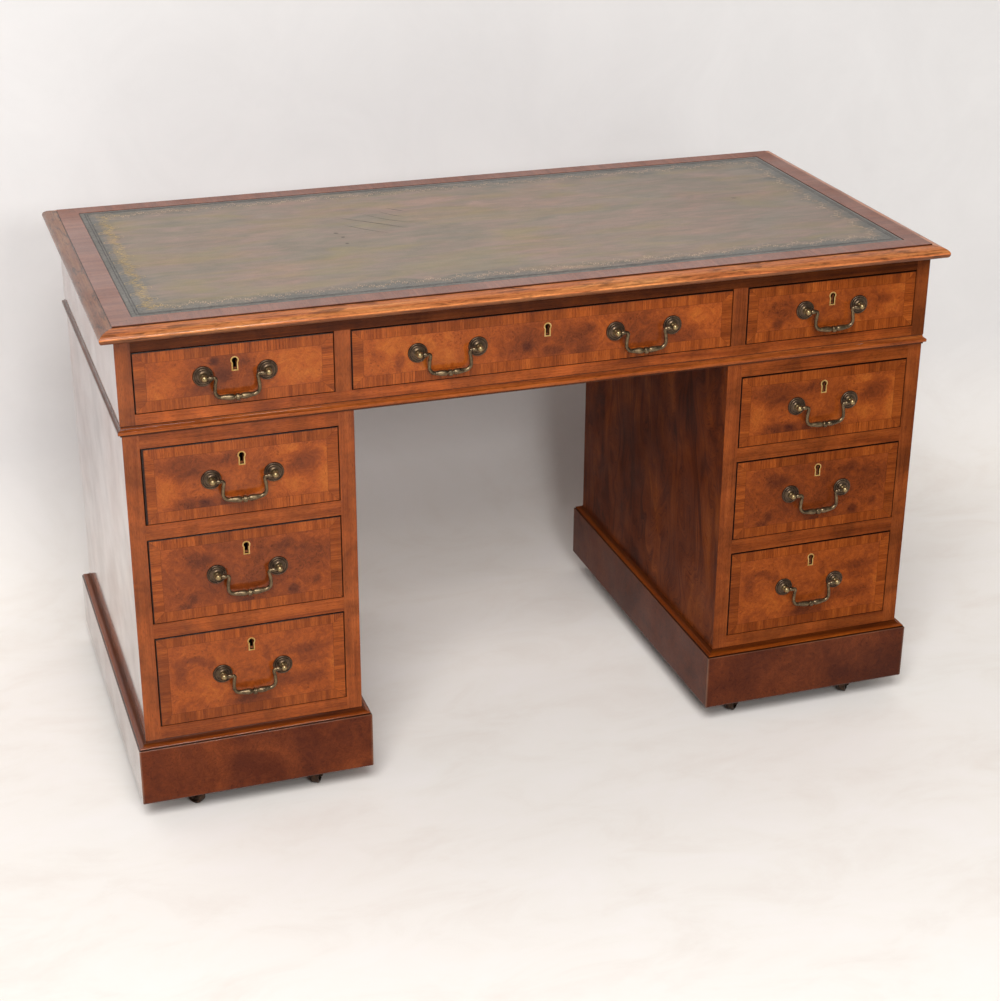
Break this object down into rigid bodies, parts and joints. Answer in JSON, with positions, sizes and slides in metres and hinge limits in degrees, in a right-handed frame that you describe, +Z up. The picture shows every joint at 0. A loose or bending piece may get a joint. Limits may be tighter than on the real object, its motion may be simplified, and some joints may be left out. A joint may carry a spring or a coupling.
{
  "type": "kneehole desk",
  "caption": "Walnut pedestal desk with an open kneehole, leather-lined top, frieze drawers over graduated pedestal drawers, swan-neck bail handles and plinths on hidden castors.",
  "frame": {"origin": "on the floor, below the middle of the top", "axes": "+X along the width, to the right of a sitter; +Y from the drawer side to the back; +Z up"},
  "size_m": [1.27, 0.622, 0.77],
  "materials": {
    "walnut": "French-polished walnut",
    "drawer_walnut": "burr walnut fronts on plain drawer linings",
    "tooled_leather": "worn olive hide with gold tooling",
    "antique_brass": "darkened brass",
    "castor_iron": "dark iron"
  },
  "bodies": {
    "carcass": {"castor_plates": "castor_iron", "frieze_back": "walnut", "frieze_ends": "walnut", "frieze_partitions": "walnut", "frieze_rails": "walnut", "frieze_runners": "walnut", "leather_writing_surface": "tooled_leather", "pedestal_left_case": "walnut", "pedestal_left_plinth": "walnut", "pedestal_left_rails": "walnut", "pedestal_right_case": "walnut", "pedestal_right_plinth": "walnut", "pedestal_right_rails": "walnut", "top_board": "walnut", "top_edge_moulding": "walnut", "waist_moulding": "walnut"},
    "drawer_frieze_left": {"drawer_frieze_left": "drawer_walnut", "fittings_frieze_left": "antique_brass"},
    "bail_frieze_left": {"bail_frieze_left": "antique_brass"},
    "drawer_frieze_centre": {"drawer_frieze_centre": "drawer_walnut", "fittings_frieze_centre": "antique_brass"},
    "bail_frieze_centre_left": {"bail_frieze_centre_left": "antique_brass"},
    "bail_frieze_centre_right": {"bail_frieze_centre_right": "antique_brass"},
    "drawer_frieze_right": {"drawer_frieze_right": "drawer_walnut", "fittings_frieze_right": "antique_brass"},
    "bail_frieze_right": {"bail_frieze_right": "antique_brass"},
    "drawer_left_upper": {"drawer_left_upper": "drawer_walnut", "fittings_left_upper": "antique_brass"},
    "bail_left_upper": {"bail_left_upper": "antique_brass"},
    "drawer_left_middle": {"drawer_left_middle": "drawer_walnut", "fittings_left_middle": "antique_brass"},
    "bail_left_middle": {"bail_left_middle": "antique_brass"},
    "drawer_left_lower": {"drawer_left_lower": "drawer_walnut", "fittings_left_lower": "antique_brass"},
    "bail_left_lower": {"bail_left_lower": "antique_brass"},
    "drawer_right_upper": {"drawer_right_upper": "drawer_walnut", "fittings_right_upper": "antique_brass"},
    "bail_right_upper": {"bail_right_upper": "antique_brass"},
    "drawer_right_middle": {"drawer_right_middle": "drawer_walnut", "fittings_right_middle": "antique_brass"},
    "bail_right_middle": {"bail_right_middle": "antique_brass"},
    "drawer_right_lower": {"drawer_right_lower": "drawer_walnut", "fittings_right_lower": "antique_brass"},
    "bail_right_lower": {"bail_right_lower": "antique_brass"},
    "castor_fork_left_outer_front": {"castor_fork_left_outer_front": "castor_iron"},
    "castor_wheel_left_outer_front": {"castor_wheel_left_outer_front": "castor_iron"},
    "castor_fork_left_outer_back": {"castor_fork_left_outer_back": "castor_iron"},
    "castor_wheel_left_outer_back": {"castor_wheel_left_outer_back": "castor_iron"},
    "castor_fork_left_inner_front": {"castor_fork_left_inner_front": "castor_iron"},
    "castor_wheel_left_inner_front": {"castor_wheel_left_inner_front": "castor_iron"},
    "castor_fork_left_inner_back": {"castor_fork_left_inner_back": "castor_iron"},
    "castor_wheel_left_inner_back": {"castor_wheel_left_inner_back": "castor_iron"},
    "castor_fork_right_outer_front": {"castor_fork_right_outer_front": "castor_iron"},
    "castor_wheel_right_outer_front": {"castor_wheel_right_outer_front": "castor_iron"},
    "castor_fork_right_outer_back": {"castor_fork_right_outer_back": "castor_iron"},
    "castor_wheel_right_outer_back": {"castor_wheel_right_outer_back": "castor_iron"},
    "castor_fork_right_inner_front": {"castor_fork_right_inner_front": "castor_iron"},
    "castor_wheel_right_inner_front": {"castor_wheel_right_inner_front": "castor_iron"},
    "castor_fork_right_inner_back": {"castor_fork_right_inner_back": "castor_iron"},
    "castor_wheel_right_inner_back": {"castor_wheel_right_inner_back": "castor_iron"}
  },
  "joints": [
    {"name": "drawer_frieze_left_slide", "type": "slide", "parent": "carcass", "child": "drawer_frieze_left", "axis": [0, -1, 0], "range_m": [0, 0.4]},
    {"name": "bail_frieze_left_swing", "type": "hinge", "parent": "drawer_frieze_left", "child": "bail_frieze_left", "pos_m": [-0.45275, -0.301, 0.6863], "axis": [-1, 0, 0], "range_deg": [-8, 165]},
    {"name": "drawer_frieze_centre_slide", "type": "slide", "parent": "carcass", "child": "drawer_frieze_centre", "axis": [0, -1, 0], "range_m": [0, 0.4]},
    {"name": "bail_frieze_centre_left_swing", "type": "hinge", "parent": "drawer_frieze_centre", "child": "bail_frieze_centre_left", "pos_m": [-0.149, -0.301, 0.6863], "axis": [-1, 0, 0], "range_deg": [-8, 165]},
    {"name": "bail_frieze_centre_right_swing", "type": "hinge", "parent": "drawer_frieze_centre", "child": "bail_frieze_centre_right", "pos_m": [0.149, -0.301, 0.6863], "axis": [-1, 0, 0], "range_deg": [-8, 165]},
    {"name": "drawer_frieze_right_slide", "type": "slide", "parent": "carcass", "child": "drawer_frieze_right", "axis": [0, -1, 0], "range_m": [0, 0.4]},
    {"name": "bail_frieze_right_swing", "type": "hinge", "parent": "drawer_frieze_right", "child": "bail_frieze_right", "pos_m": [0.45275, -0.301, 0.6863], "axis": [-1, 0, 0], "range_deg": [-8, 165]},
    {"name": "drawer_left_upper_slide", "type": "slide", "parent": "carcass", "child": "drawer_left_upper", "axis": [0, -1, 0], "range_m": [0, 0.4]},
    {"name": "bail_left_upper_swing", "type": "hinge", "parent": "drawer_left_upper", "child": "bail_left_upper", "pos_m": [-0.45, -0.301, 0.5329], "axis": [-1, 0, 0], "range_deg": [-8, 165]},
    {"name": "drawer_left_middle_slide", "type": "slide", "parent": "carcass", "child": "drawer_left_middle", "axis": [0, -1, 0], "range_m": [0, 0.4]},
    {"name": "bail_left_middle_swing", "type": "hinge", "parent": "drawer_left_middle", "child": "bail_left_middle", "pos_m": [-0.45, -0.301, 0.38615], "axis": [-1, 0, 0], "range_deg": [-8, 165]},
    {"name": "drawer_left_lower_slide", "type": "slide", "parent": "carcass", "child": "drawer_left_lower", "axis": [0, -1, 0], "range_m": [0, 0.4]},
    {"name": "bail_left_lower_swing", "type": "hinge", "parent": "drawer_left_lower", "child": "bail_left_lower", "pos_m": [-0.45, -0.301, 0.2248], "axis": [-1, 0, 0], "range_deg": [-8, 165]},
    {"name": "drawer_right_upper_slide", "type": "slide", "parent": "carcass", "child": "drawer_right_upper", "axis": [0, -1, 0], "range_m": [0, 0.4]},
    {"name": "bail_right_upper_swing", "type": "hinge", "parent": "drawer_right_upper", "child": "bail_right_upper", "pos_m": [0.45, -0.301, 0.5329], "axis": [-1, 0, 0], "range_deg": [-8, 165]},
    {"name": "drawer_right_middle_slide", "type": "slide", "parent": "carcass", "child": "drawer_right_middle", "axis": [0, -1, 0], "range_m": [0, 0.4]},
    {"name": "bail_right_middle_swing", "type": "hinge", "parent": "drawer_right_middle", "child": "bail_right_middle", "pos_m": [0.45, -0.301, 0.38615], "axis": [-1, 0, 0], "range_deg": [-8, 165]},
    {"name": "drawer_right_lower_slide", "type": "slide", "parent": "carcass", "child": "drawer_right_lower", "axis": [0, -1, 0], "range_m": [0, 0.4]},
    {"name": "bail_right_lower_swing", "type": "hinge", "parent": "drawer_right_lower", "child": "bail_right_lower", "pos_m": [0.45, -0.301, 0.2248], "axis": [-1, 0, 0], "range_deg": [-8, 165]},
    {"name": "castor_fork_left_outer_front_swivel", "type": "hinge", "parent": "carcass", "child": "castor_fork_left_outer_front", "pos_m": [-0.55, -0.2545, 0.0315], "axis": [0, 0, 1], "continuous": true},
    {"name": "castor_wheel_left_outer_front_roll", "type": "hinge", "parent": "castor_fork_left_outer_front", "child": "castor_wheel_left_outer_front", "pos_m": [-0.54158, -0.26568, 0.015], "axis": [0.7986, 0.6018, 0], "continuous": true},
    {"name": "castor_fork_left_outer_back_swivel", "type": "hinge", "parent": "carcass", "child": "castor_fork_left_outer_back", "pos_m": [-0.55, 0.2545, 0.0315], "axis": [0, 0, 1], "continuous": true},
    {"name": "castor_wheel_left_outer_back_roll", "type": "hinge", "parent": "castor_fork_left_outer_back", "child": "castor_wheel_left_outer_back", "pos_m": [-0.54567, 0.26782, 0.015], "axis": [-0.9511, 0.309, 0], "continuous": true},
    {"name": "castor_fork_left_inner_front_swivel", "type": "hinge", "parent": "carcass", "child": "castor_fork_left_inner_front", "pos_m": [-0.35, -0.2545, 0.0315], "axis": [0, 0, 1], "continuous": true},
    {"name": "castor_wheel_left_inner_front_roll", "type": "hinge", "parent": "castor_fork_left_inner_front", "child": "castor_wheel_left_inner_front", "pos_m": [-0.35614, -0.26708, 0.015], "axis": [0.8988, -0.4384, 0], "continuous": true},
    {"name": "castor_fork_left_inner_back_swivel", "type": "hinge", "parent": "carcass", "child": "castor_fork_left_inner_back", "pos_m": [-0.35, 0.2545, 0.0315], "axis": [0, 0, 1], "continuous": true},
    {"name": "castor_wheel_left_inner_back_roll", "type": "hinge", "parent": "castor_fork_left_inner_back", "child": "castor_wheel_left_inner_back", "pos_m": [-0.35657, 0.26686, 0.015], "axis": [-0.8829, -0.4695, 0], "continuous": true},
    {"name": "castor_fork_right_outer_front_swivel", "type": "hinge", "parent": "carcass", "child": "castor_fork_right_outer_front", "pos_m": [0.55, -0.2545, 0.0315], "axis": [0, 0, 1], "continuous": true},
    {"name": "castor_wheel_right_outer_front_roll", "type": "hinge", "parent": "castor_fork_right_outer_front", "child": "castor_wheel_right_outer_front", "pos_m": [0.54138, -0.26553, 0.015], "axis": [0.788, -0.6157, 0], "continuous": true},
    {"name": "castor_fork_right_outer_back_swivel", "type": "hinge", "parent": "carcass", "child": "castor_fork_right_outer_back", "pos_m": [0.55, 0.2545, 0.0315], "axis": [0, 0, 1], "continuous": true},
    {"name": "castor_wheel_right_outer_back_roll", "type": "hinge", "parent": "castor_fork_right_outer_back", "child": "castor_wheel_right_outer_back", "pos_m": [0.54757, 0.26829, 0.015], "axis": [-0.9848, -0.1736, 0], "continuous": true},
    {"name": "castor_fork_right_inner_front_swivel", "type": "hinge", "parent": "carcass", "child": "castor_fork_right_inner_front", "pos_m": [0.35, -0.2545, 0.0315], "axis": [0, 0, 1], "continuous": true},
    {"name": "castor_wheel_right_inner_front_roll", "type": "hinge", "parent": "castor_fork_right_inner_front", "child": "castor_wheel_right_inner_front", "pos_m": [0.34027, -0.26457, 0.015], "axis": [0.7193, -0.6947, 0], "continuous": true},
    {"name": "castor_fork_right_inner_back_swivel", "type": "hinge", "parent": "carcass", "child": "castor_fork_right_inner_back", "pos_m": [0.35, 0.2545, 0.0315], "axis": [0, 0, 1], "continuous": true},
    {"name": "castor_wheel_right_inner_back_roll", "type": "hinge", "parent": "castor_fork_right_inner_back", "child": "castor_wheel_right_inner_back", "pos_m": [0.36057, 0.26369, 0.015], "axis": [-0.6561, 0.7547, 0], "continuous": true}
  ]
}
